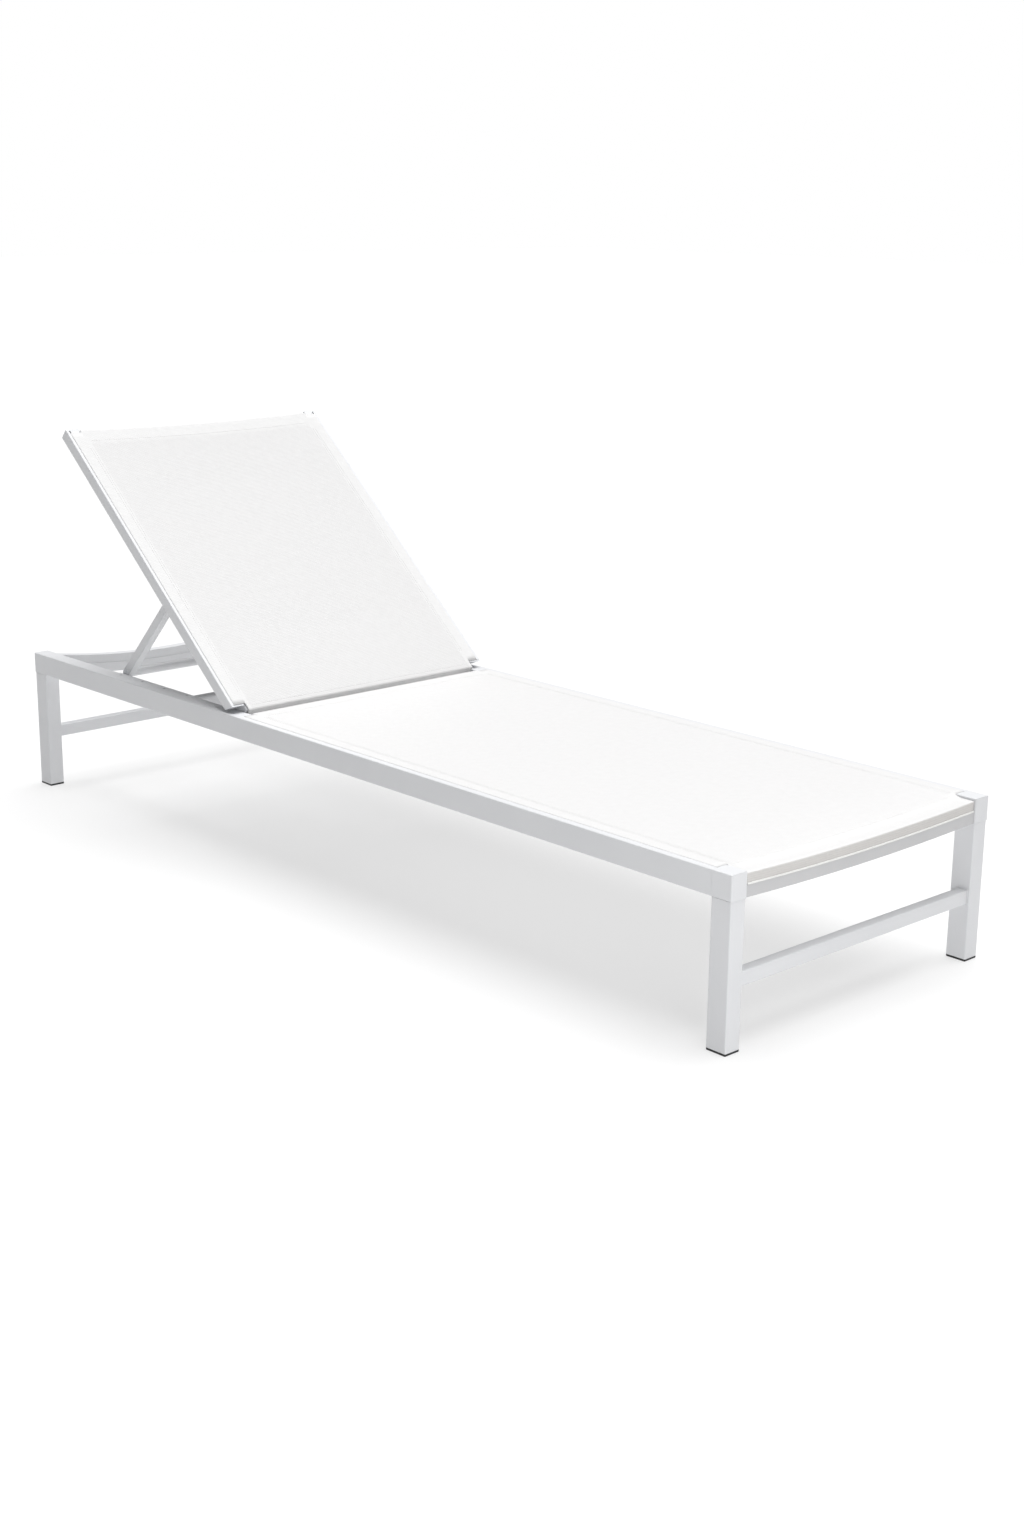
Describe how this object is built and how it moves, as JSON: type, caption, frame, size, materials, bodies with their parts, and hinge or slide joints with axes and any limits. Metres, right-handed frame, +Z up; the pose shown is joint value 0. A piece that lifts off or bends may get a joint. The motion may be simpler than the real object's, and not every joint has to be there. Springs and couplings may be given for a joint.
{
  "type": "reclining sun lounger",
  "caption": "Low armless sun lounger: white tubular aluminium frame with square legs, taut mesh sling seat and a hinged mesh backrest held by a swinging prop in notched racks.",
  "frame": {"origin": "centre of the base's footprint, on the floor under the four glides", "axes": "+X towards the foot end, +Y towards the user's left side, +Z up; the back is drawn at its lowest raised position"},
  "size_m": [2, 0.65, 0.7818],
  "materials": {
    "powder_coat": "white powder-coated aluminium tube, satin",
    "sling_mesh": "PVC-coated polyester mesh, matt",
    "keder_rod": "extruded PVC",
    "glide_plastic": "black moulded polyethylene",
    "cap_plastic": "light grey moulded plastic",
    "nylon": "natural nylon",
    "stainless": "stainless steel"
  },
  "bodies": {
    "frame": {"side_rail_left": "powder_coat", "side_rail_right": "powder_coat", "corner_block_foot_left": "powder_coat", "corner_block_foot_right": "powder_coat", "corner_block_head_left": "powder_coat", "corner_block_head_right": "powder_coat", "leg_foot_left": "powder_coat", "leg_foot_right": "powder_coat", "leg_head_left": "powder_coat", "leg_head_right": "powder_coat", "leg_glide_foot_left": "glide_plastic", "leg_glide_foot_right": "glide_plastic", "leg_glide_head_left": "glide_plastic", "leg_glide_head_right": "glide_plastic", "foot_stretcher": "powder_coat", "head_stretcher": "powder_coat", "foot_crossbar": "powder_coat", "head_crossbar": "powder_coat", "middle_crossbar": "powder_coat", "seat_rear_crossbar": "powder_coat", "seat_sling": "sling_mesh", "seat_spline_left": "keder_rod", "seat_spline_right": "keder_rod", "hinge_bolts": "stainless", "hinge_washers": "nylon", "hinge_inserts": "stainless", "support_rack_left": "powder_coat", "support_rack_right": "powder_coat", "rack_screws": "stainless"},
    "back": {"back_side_tube_left": "powder_coat", "back_side_tube_right": "powder_coat", "back_spline_left": "keder_rod", "back_spline_right": "keder_rod", "hinge_lug_left": "powder_coat", "hinge_lug_right": "powder_coat", "back_top_bar": "powder_coat", "back_bottom_bar": "powder_coat", "back_sling": "sling_mesh", "back_tube_caps": "cap_plastic", "hinge_bushes": "nylon", "prop_bolts": "stainless", "prop_washers": "nylon"},
    "prop": {"prop_arm_left": "powder_coat", "prop_arm_right": "powder_coat", "prop_foot_tube": "powder_coat", "prop_foot_caps": "cap_plastic", "prop_bushes": "nylon"}
  },
  "joints": [
    {"name": "back_recline", "type": "hinge", "parent": "frame", "child": "back", "pos_m": [-0.3035, 0, 0.277], "axis": [0, 1, 0], "range_deg": [-40.3, 23.7]},
    {"name": "prop_swing", "type": "hinge", "parent": "back", "child": "prop", "pos_m": [-0.51354, 0, 0.4879], "axis": [0, -1, 0], "range_deg": [-86, 51]}
  ],
  "couplings": [
    {"joint": "prop_swing", "follows": "back_recline", "ratio": 2.125}
  ]
}
